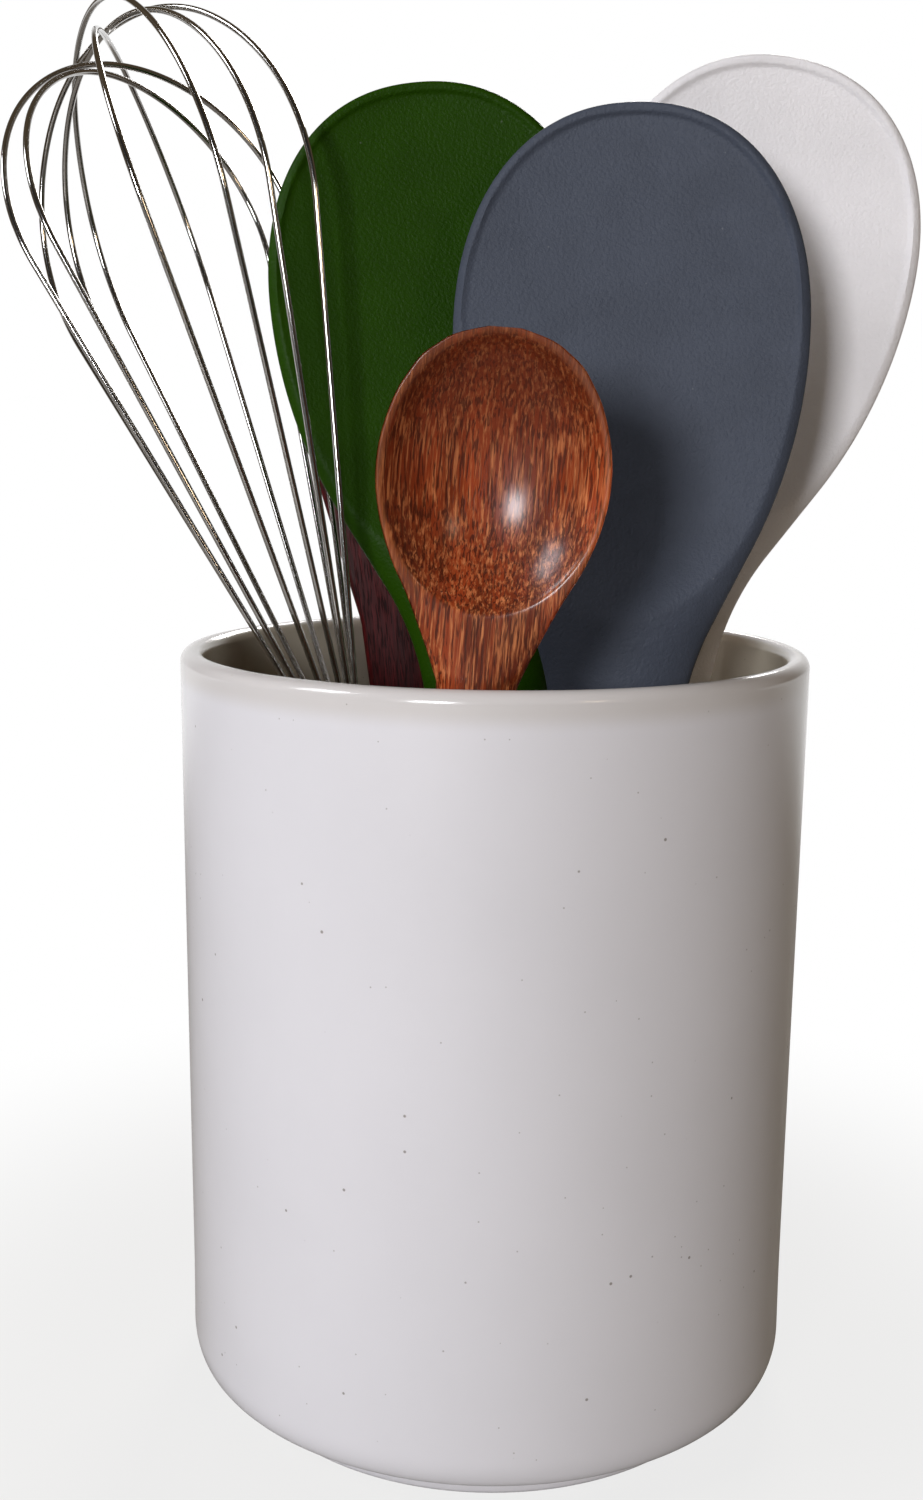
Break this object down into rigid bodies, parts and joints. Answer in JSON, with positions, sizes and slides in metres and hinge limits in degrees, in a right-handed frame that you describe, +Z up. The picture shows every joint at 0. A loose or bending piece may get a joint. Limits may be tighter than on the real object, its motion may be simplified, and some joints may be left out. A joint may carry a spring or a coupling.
{
  "type": "utensil crock",
  "caption": "Glazed stoneware utensil crock holding a balloon whisk, silicone cooking spoons, a wooden spoon and a wooden turner, each free to lift out.",
  "frame": {"origin": "centre of the crock's foot ring, on the plane that it rests on", "axes": "+Z up along the crock's axis; +Y from the front view to the back; +X to the right of the front view"},
  "size_m": [0.1882, 0.13, 0.2885],
  "materials": {
    "stoneware_glaze": "glossy off-white glaze with sparse fine speckles",
    "green_silicone": "matte moulded silicone",
    "grey_silicone": "matte moulded silicone",
    "white_silicone": "matte moulded silicone",
    "core_nylon": "moulded nylon",
    "reddish_wood": "oiled, fine vertical grain",
    "dark_wood": "oiled, fine vertical grain",
    "handle_steel": "satin",
    "wire_steel": "polished stainless wire",
    "plug_plastic": "moulded"
  },
  "bodies": {
    "crock": {"crock": "stoneware_glaze"},
    "whisk": {"whisk_handle": "handle_steel", "whisk_end_cap": "handle_steel", "whisk_hanging_loop": "wire_steel", "whisk_wire_plug": "plug_plastic", "whisk_wire_1": "wire_steel", "whisk_wire_2": "wire_steel", "whisk_wire_3": "wire_steel", "whisk_wire_4": "wire_steel", "whisk_wire_5": "wire_steel", "whisk_wire_6": "wire_steel"},
    "green_spoon": {"green_spoon_silicone": "green_silicone", "green_spoon_core": "core_nylon"},
    "grey_spoon": {"grey_spoon_silicone": "grey_silicone", "grey_spoon_core": "core_nylon"},
    "white_spoon": {"white_spoon_silicone": "white_silicone", "white_spoon_core": "core_nylon"},
    "wooden_spoon": {"wooden_spoon": "reddish_wood"},
    "wooden_turner": {"wooden_turner": "dark_wood"}
  },
  "joints": [
    {"name": "whisk_lift", "type": "slide", "parent": "crock", "child": "whisk", "axis": [-0.3359, 0.1826, 0.924], "range_m": [0, 0.168]},
    {"name": "green_spoon_lift", "type": "slide", "parent": "crock", "child": "green_spoon", "axis": [-0.1282, 0.0593, 0.99], "range_m": [0, 0.157]},
    {"name": "grey_spoon_lift", "type": "slide", "parent": "crock", "child": "grey_spoon", "axis": [0.0109, 0.0513, 0.9986], "range_m": [0, 0.155]},
    {"name": "white_spoon_lift", "type": "slide", "parent": "crock", "child": "white_spoon", "axis": [0.1934, -0.0111, 0.9811], "range_m": [0, 0.159]},
    {"name": "wooden_spoon_lift", "type": "slide", "parent": "crock", "child": "wooden_spoon", "axis": [0.0668, -0.0861, 0.994], "range_m": [0, 0.156]},
    {"name": "wooden_turner_lift", "type": "slide", "parent": "crock", "child": "wooden_turner", "axis": [-0.1144, 0.0593, 0.9917], "range_m": [0, 0.156]}
  ]
}
